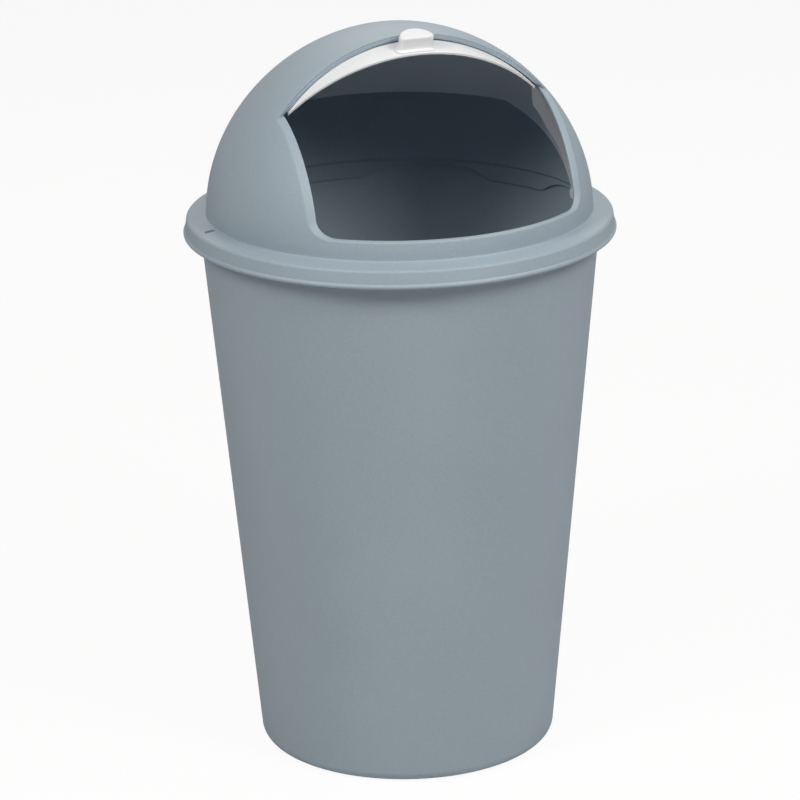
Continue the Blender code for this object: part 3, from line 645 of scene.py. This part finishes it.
class WASTEBIN_OT_hood(bpy.types.Operator):
    """Spins the dome hood, cuts its opening, and adds its lip, tabs, bearings and slots"""

    bl_idname = "wastebin.hood"
    bl_label = "Dome hood"

    def execute(self, context):
        sizes = context.scene.bin_sizes
        section = [(r, 0, z) for r, z in hood_section(sizes)]
        hood = spin_line("dome_with_flange", section, (0, 0, 1), (0, 0, 0), sizes.round_steps,
                         False)
        combine(hood, opening_wedge(sizes, sizes.edge_round + LIP_SEAT), "DIFFERENCE")
        combine(hood, opening_lip(sizes), "UNION")
        combine(hood, tab_ring(), "UNION")
        inner = sizes.dome_radius - sizes.hood_wall
        for side in (-1, 1):
            lug = pin("bearing_lug", LUG_RADIUS, (side * (inner + LUG_BURIED), 0, AXLE_Z),
                      (side * LUG_END, 0, AXLE_Z))
            combine(hood, lug, "UNION")
        for side in (-1, 1):
            bore = pin("bearing_bore", BORE_RADIUS, (side * (inner - CLEAR), 0, AXLE_Z),
                       (side * BORE_END, 0, AXLE_Z))
            combine(hood, bore, "DIFFERENCE")
            ends = sorted((side * SLOT_START, side * SLOT_END))
            slot = slab("bearing_slot", (ends[0], -SLOT_HALF_WIDTH, crease_z() - SLOT_DEPTH),
                        (ends[1], SLOT_HALF_WIDTH, crease_z() + CLEAR))
            combine(hood, slot, "DIFFERENCE")
        finish_piece(hood, "dome_hood", "hood", grey_plastic())
        return {"FINISHED"}


# Visor

HALF_CROWN = 0.1724
CROWN_END = 0.1280
CHEEK_TURN = 0.1622
CHEEK_TOP = 0.0960
HUB_FACE = 0.1756
HUB_RADIUS = 0.0052
HUB_THICKNESS = 0.0024
HUB_PLAY = 0.0003
AXLE_RADIUS = 0.0030
AXLE_END = 0.1820
FRONT_ANGLE = 71.7863
STEP_X = 0.1200
STEP_BACK = 0.0058
STEP_SWEEP = 30
REAR_RISE = 0.0785
REAR_ANGLE = 130.0
HUB_ANGLE = 110.5
PEG_X = 0.0080
PEG_BACK = 0.0070
PEG_HOLE_RADIUS = 0.0025


def crown_turn(x, sizes):
    """Radius of the crown about the axle at a place along it."""
    return sizes.crown_radius * sqrt(1 - (x / HALF_CROWN) ** 2)


def cheek_reach(turn):
    """Place along the axle of the cheek's outer face, at a radius about the axle."""
    return (HUB_FACE - HUB_PLAY) * sqrt(1 - (turn / CHEEK_TURN) ** 2)


def about_axle(x, turn, angle):
    """Point at an angle about the axle, 0 to the front and 90 straight up."""
    return Vector((x, -turn * cos(radians(angle)), AXLE_Z + turn * sin(radians(angle))))


def cheek_front(sizes):
    """Angle of the cheeks' front edge, a step behind the crown's."""
    return FRONT_ANGLE + degrees(STEP_BACK / crown_turn(STEP_X, sizes))


def visor_section(sizes):
    """Outer face of the visor along the axle, then back along its inner face."""
    across, down = 40, 24
    right = [(CROWN_END * i / across, crown_turn(CROWN_END * i / across, sizes))
             for i in range(across + 1)]
    for i in range(down + 1):
        turn = CHEEK_TOP + (HUB_RADIUS / 2 - CHEEK_TOP) * i / down
        right.append((cheek_reach(turn), turn))
    outer = [(-x, turn) for x, turn in reversed(right[1:])] + right
    return outer + inset(outer, sizes.visor_wall)[::-1]


def towards(angle, reach):
    """The (y, z) corner at an angle about the axle and a distance from it."""
    return (-reach * cos(radians(angle)), AXLE_Z + reach * sin(radians(angle)))


def cheek_flange(sizes, side):
    """The flange along a cheek's front edge, leaning back inwards and narrowing to the hub."""
    edge_gap, width, full_turn, down = 0.0003, 0.0140, 0.0700, 20
    angle = cheek_front(sizes) + degrees(edge_gap / CHEEK_TOP)
    wall, top_turn, lean = sizes.visor_wall, 0.1180, radians(28)
    rows = [(HALF_CROWN * sqrt(1 - (top_turn / sizes.crown_radius) ** 2) - wall / 2,
             STEP_X + wall / 2, top_turn)]
    for i in range(down + 1):
        turn = CHEEK_TOP + (HUB_RADIUS / 2 - CHEEK_TOP) * i / down
        outer = cheek_reach(turn) - wall / 2
        rows.append((outer, outer - width * min(1, turn / full_turn), turn))
    back = Vector((0, sin(radians(angle)), cos(radians(angle)))) * (wall / cos(lean))
    bm = bmesh.new()
    rings = []
    for outer, inner, turn in rows:
        turned = angle + degrees((outer - inner) * tan(lean) / turn)
        front = [about_axle(side * outer, turn, angle), about_axle(side * inner, turn, turned)]
        rings.append([bm.verts.new(p) for p in (*front, front[1] + back, front[0] + back)])
    for here, there in zip(rings, rings[1:]):
        bridge(bm, here, there)
    bm.faces.new(rings[0])
    bm.faces.new(rings[-1])
    return add_shell("cheek_flange", bm)


GRIP_FRONT = 0.0050


def grip_frame():
    """Frame of the grip: X across, Y back along the visor, Z out from it, at the front edge."""
    return Matrix.Translation((0, 0, AXLE_Z)) @ Matrix.Rotation(radians(90 - FRONT_ANGLE), 4, "X")


class WASTEBIN_OT_visor(bpy.types.Operator):
    """Spins the white visor about its axle, trims it, and adds its flanges, hubs and pins"""

    bl_idname = "wastebin.visor"
    bl_label = "Roll-back visor"

    def execute(self, context):
        sizes = context.scene.bin_sizes
        section = [(x, 0, AXLE_Z + turn) for x, turn in visor_section(sizes)]
        visor = spin_line("white_visor", section, (1, 0, 0), (0, 0, AXLE_Z),
                          sizes.round_steps, True)
        far, down = HALF_CROWN + CLEAR, 24
        rear = REAR_RISE / sin(radians(REAR_ANGLE))
        outline = [(0, AXLE_Z), towards(FRONT_ANGLE, 2 * far), (2 * far, AXLE_Z + 2 * far),
                   (2 * far, AXLE_Z + REAR_RISE)]
        outline += [towards(HUB_ANGLE + (REAR_ANGLE - HUB_ANGLE) * (1 - i / down),
                            rear * (1 - i / down)) for i in range(down)]
        combine(visor, prism("visor_outline", outline, -far, far), "INTERSECT")
        step = [(0, AXLE_Z), towards(FRONT_ANGLE - STEP_SWEEP, far),
                towards(cheek_front(sizes), far)]
        for side in (-1, 1):
            ends = sorted((side * STEP_X, side * far))
            combine(visor, prism("front_step", step, *ends), "DIFFERENCE")
        for side in (-1, 1):
            combine(visor, cheek_flange(sizes, side), "UNION")
            hub = pin("hub", HUB_RADIUS, (side * (HUB_FACE - HUB_THICKNESS), 0, AXLE_Z),
                      (side * HUB_FACE, 0, AXLE_Z))
            combine(visor, hub, "UNION")
            axle = pin("axle_stub", AXLE_RADIUS,
                       (side * (HUB_FACE - HUB_THICKNESS / 2), 0, AXLE_Z),
                       (side * AXLE_END, 0, AXLE_Z))
            combine(visor, axle, "UNION")
        place = grip_frame()
        for side in (-1, 1):
            spot = (side * PEG_X, GRIP_FRONT + PEG_BACK)
            hole = pin("peg_hole", PEG_HOLE_RADIUS,
                       place @ Vector((*spot, sizes.crown_radius - CLEAR)),
                       place @ Vector((*spot, sizes.crown_radius + CLEAR)))
            combine(visor, hole, "DIFFERENCE")
        finish_piece(visor, "visor", "flap", white_plastic())
        return {"FINISHED"}


# Grip

GRIP_HEIGHT = 0.0140
POST_RADIUS = 0.0034
POST_TOP = 0.0129
PEG_RADIUS = 0.0022
PEG_TOP = 0.0080
PEG_LENGTH = 0.0035
SEAT_GAP = 0.0005
PEG_SIDES = 32


def grip_outline(radius, shrink):
    """Half-round outline with soft front corners, moved inwards by an amount."""
    corner, steps = 0.0040, 8
    across = sqrt((radius - corner) ** 2 - corner ** 2)
    lean = degrees(atan2(corner, across))
    points = [(across * i / steps, GRIP_FRONT + shrink) for i in range(-steps, steps)]
    points += arc((across, GRIP_FRONT + corner), corner - shrink, -90, lean, steps)[:-1]
    points += arc((0, GRIP_FRONT), radius - shrink, lean, 180 - lean, 7 * steps)[:-1]
    points += arc((-across, GRIP_FRONT + corner), corner - shrink, 180 - lean, 270, steps)[:-1]
    return points


def grip_shell(sizes):
    """The hollow grip: a coved foot on the visor's curve, upright sides and a rounded top."""
    crown, radius, wall, gap = sizes.crown_radius, sizes.grip_radius, 0.0022, 0.0003
    cove, edge, land, draft, cove_steps, edge_steps = 0.0026, 0.0024, 0.0005, 0.0002, 6, 8
    edge_share, roof_share = 0.9, 1.3
    top = crown + GRIP_HEIGHT
    place = grip_frame()

    def on_crown(point, lift):
        x, y = point
        return place @ Vector((x, y, sqrt((crown_turn(x, sizes) + gap + lift) ** 2 - y ** 2)))

    rows = [[on_crown(p, 0) for p in grip_outline(radius, -cove)]]
    for i in range(cove_steps + 1):
        turn = radians(90 * i / cove_steps)
        rows.append([on_crown(p, land + cove * (1 - cos(turn)))
                     for p in grip_outline(radius, -cove * (1 - sin(turn)))])
    for i in range(edge_steps + 1):
        turn = radians(90 * i / edge_steps)
        rows.append([place @ Vector((x, y, top - edge * (1 - sin(turn)))) for x, y in
                     grip_outline(radius, draft + edge * (1 - cos(turn)) * edge_share)])
    inner = [[place @ Vector((x, y, top - wall))
              for x, y in grip_outline(radius, roof_share * wall)],
             [on_crown(p, 0) for p in grip_outline(radius, wall)]]
    bm = bmesh.new()
    rings = [[bm.verts.new(p) for p in row] for row in rows + inner]
    lid = len(rows) - 1
    for n, (here, there) in enumerate(zip(rings, rings[1:] + rings[:1])):
        if n == lid:
            bm.faces.new(here)
            bm.faces.new(there)
        else:
            bridge(bm, here, there)
    return add_shell("half_round_grip", bm)


class WASTEBIN_OT_grip(bpy.types.Operator):
    """Lofts the hollow half-round grip on the visor's curve, and adds its posts and pegs"""

    bl_idname = "wastebin.grip"
    bl_label = "Visor grip"

    def execute(self, context):
        sizes = context.scene.bin_sizes
        crown = sizes.crown_radius
        grip = grip_shell(sizes)
        place = grip_frame()
        for side in (-1, 1):
            x, y = side * PEG_X, GRIP_FRONT + PEG_BACK
            seat = sqrt((crown_turn(x, sizes) + SEAT_GAP) ** 2 - y ** 2)
            post = pin("grip_post", POST_RADIUS, place @ Vector((x, y, seat)),
                       place @ Vector((x, y, crown + POST_TOP)), PEG_SIDES)
            combine(grip, post, "UNION")
            peg = pin("grip_peg", PEG_RADIUS, place @ Vector((x, y, seat - PEG_LENGTH)),
                      place @ Vector((x, y, crown + PEG_TOP)), PEG_SIDES)
            combine(grip, peg, "UNION")
        finish_piece(grip, "visor_grip", "flap", white_plastic())
        return {"FINISHED"}


# Stage

PHOTO_PIXELS = 800
FOCAL_PIXELS = 3994.197
SHIFT_PIXELS = -2.69
SENSOR_WIDTH = 36
CAMERA_ROLL = -0.016
FLOOR_SIZE = 14
FLOOR_GREY = (0.75, 0.75, 0.75, 1)
FLOOR_GLOW = 1.03
GLOW_SHARE = 0.9
SKY_COLOUR = (0.94, 0.97, 1, 1)
SKY_STRENGTH = 0.03
REFLECTED_WHITE = 0.7
WHITE = (1, 1, 1, 1)
LAMP_AIM = Vector((0, 0, 0.4))
LAMP_COLOUR = (1, 0.97, 0.92)
# Name, place, width and power of each lamp
LAMPS = (
    ("left_key", (-1.75, -0.78, 2.01), 0.8, 26.3),
    ("right_key", (0.78, -1.75, 2.01), 0.8, 28.2),
    ("front_key", (-0.58, -1.50, 2.32), 0.8, 9.4),
    ("right_top", (1.50, -0.58, 2.32), 1.5, 7.5),
    ("right_rim", (2.35, -0.04, 1.26), 1.5, 1.9),
    ("back_lamp", (0.69, 1.79, 2.01), 1.5, 10.3),
)


def studio_floor():
    """Pale floor that reads white to the camera and keeps a faint contact shadow."""
    made = bpy.data.materials.new("pale_studio_floor")
    made.use_nodes = True
    nodes, links = made.node_tree.nodes, made.node_tree.links
    shader = nodes["Principled BSDF"]
    shader.inputs["Base Color"].default_value = FLOOR_GREY
    shader.inputs["Roughness"].default_value = 0.9
    glow = nodes.new("ShaderNodeEmission")
    glow.inputs["Color"].default_value = WHITE
    glow.inputs["Strength"].default_value = FLOOR_GLOW
    rays = nodes.new("ShaderNodeLightPath")
    share = nodes.new("ShaderNodeMath")
    share.operation = "MULTIPLY"
    share.inputs[1].default_value = GLOW_SHARE
    mix = nodes.new("ShaderNodeMixShader")
    links.new(rays.outputs["Is Camera Ray"], share.inputs[0])
    links.new(share.outputs[0], mix.inputs["Fac"])
    links.new(shader.outputs[0], mix.inputs[1])
    links.new(glow.outputs[0], mix.inputs[2])
    links.new(mix.outputs[0], nodes["Material Output"].inputs["Surface"])
    return made


def add_lamp(name, place, width, power):
    """A square soft box that faces the bin."""
    lamp = bpy.data.lights.new(name, "AREA")
    lamp.shape = "RECTANGLE"
    lamp.size = lamp.size_y = width
    lamp.energy = power
    lamp.color = LAMP_COLOUR
    made = bpy.data.objects.new(name, lamp)
    bpy.context.scene.collection.objects.link(made)
    made.location = place
    made.rotation_euler = (LAMP_AIM - Vector(place)).to_track_quat("-Z", "Y").to_euler()


def add_camera():
    """Camera of the photograph, found from the bin's rims, with its slight roll."""
    spot, aim, roll = Vector((-1.27406, -3.31915, 1.506217)), Vector((0, 0, 0.329383)), CAMERA_ROLL
    ahead = (aim - spot).normalized()
    right = ahead.cross(Vector((0, 0, 1))).normalized()
    up = right.cross(ahead)
    across = right * cos(roll) + up * sin(roll)
    upright = up * cos(roll) - right * sin(roll)
    lens = bpy.data.cameras.new("product_camera")
    lens.sensor_width = SENSOR_WIDTH
    lens.lens = SENSOR_WIDTH * FOCAL_PIXELS / PHOTO_PIXELS
    lens.shift_x = SHIFT_PIXELS / PHOTO_PIXELS
    lens.clip_start, lens.clip_end = 0.1, 50
    camera = bpy.data.objects.new("product_camera", lens)
    bpy.context.scene.collection.objects.link(camera)
    camera.matrix_world = Matrix((
        (across.x, upright.x, -ahead.x, spot.x),
        (across.y, upright.y, -ahead.y, spot.y),
        (across.z, upright.z, -ahead.z, spot.z),
        (0, 0, 0, 1)))
    bpy.context.scene.camera = camera


class WASTEBIN_OT_stage(bpy.types.Operator):
    """Adds the pale floor, the soft studio light and the camera"""

    bl_idname = "wastebin.stage"
    bl_label = "Studio stage"

    def execute(self, context):
        context.scene.view_settings.view_transform = "Standard"
        deselect()
        bpy.ops.mesh.primitive_plane_add(size=FLOOR_SIZE, location=(0, 0, 0))
        floor = context.object
        floor.name = "studio_floor"
        floor.data.materials.append(studio_floor())
        world = bpy.data.worlds.new("studio_world")
        context.scene.world = world
        world.use_nodes = True
        nodes, links = world.node_tree.nodes, world.node_tree.links
        rays = nodes.new("ShaderNodeLightPath")
        mix = nodes.new("ShaderNodeMixShader")
        seen = nodes.new("ShaderNodeBackground")
        seen.inputs["Color"].default_value = WHITE
        lift = nodes.new("ShaderNodeMath")
        lift.operation = "MULTIPLY_ADD"
        lift.inputs[1].default_value = 1 - REFLECTED_WHITE
        lift.inputs[2].default_value = REFLECTED_WHITE
        links.new(rays.outputs["Is Camera Ray"], lift.inputs[0])
        links.new(lift.outputs[0], seen.inputs["Strength"])
        soft = nodes["Background"]
        soft.inputs["Color"].default_value = SKY_COLOUR
        soft.inputs["Strength"].default_value = SKY_STRENGTH
        seen_rays = nodes.new("ShaderNodeMath")
        seen_rays.operation = "MAXIMUM"
        links.new(rays.outputs["Is Camera Ray"], seen_rays.inputs[0])
        links.new(rays.outputs["Is Glossy Ray"], seen_rays.inputs[1])
        links.new(seen_rays.outputs[0], mix.inputs["Fac"])
        links.new(soft.outputs[0], mix.inputs[1])
        links.new(seen.outputs[0], mix.inputs[2])
        links.new(mix.outputs[0], nodes["World Output"].inputs["Surface"])
        for lamp in LAMPS:
            add_lamp(*lamp)
        add_camera()
        return {"FINISHED"}


class WASTEBIN_PT_panel(bpy.types.Panel):
    """Buttons for each moulding, with the sizes and colours they use"""

    bl_label = "Waste bin"
    bl_idname = "WASTEBIN_PT_panel"
    bl_space_type = "VIEW_3D"
    bl_region_type = "UI"
    bl_category = "Waste bin"

    def draw(self, context):
        layout = self.layout
        for group in (context.scene.bin_sizes, context.scene.bin_finishes):
            column = layout.column(align=True)
            for name in group.__annotations__:
                column.prop(group, name)
        for operator in OPERATORS:
            layout.operator(operator.bl_idname)


OPERATORS = (WASTEBIN_OT_stage, WASTEBIN_OT_body, WASTEBIN_OT_hood, WASTEBIN_OT_visor,
             WASTEBIN_OT_grip)
CLASSES = (WasteBinSizes, WasteBinFinishes, *OPERATORS, WASTEBIN_PT_panel)


def register():
    for item in CLASSES:
        bpy.utils.register_class(item)
    bpy.types.Scene.bin_sizes = PointerProperty(type=WasteBinSizes)
    bpy.types.Scene.bin_finishes = PointerProperty(type=WasteBinFinishes)


def unregister():
    del bpy.types.Scene.bin_finishes
    del bpy.types.Scene.bin_sizes
    for item in reversed(CLASSES):
        bpy.utils.unregister_class(item)


def main():
    register()
    bpy.ops.wastebin.stage()
    bpy.ops.wastebin.body()
    bpy.ops.wastebin.hood()
    bpy.ops.wastebin.visor()
    bpy.ops.wastebin.grip()


if __name__ == "__main__":
    main()
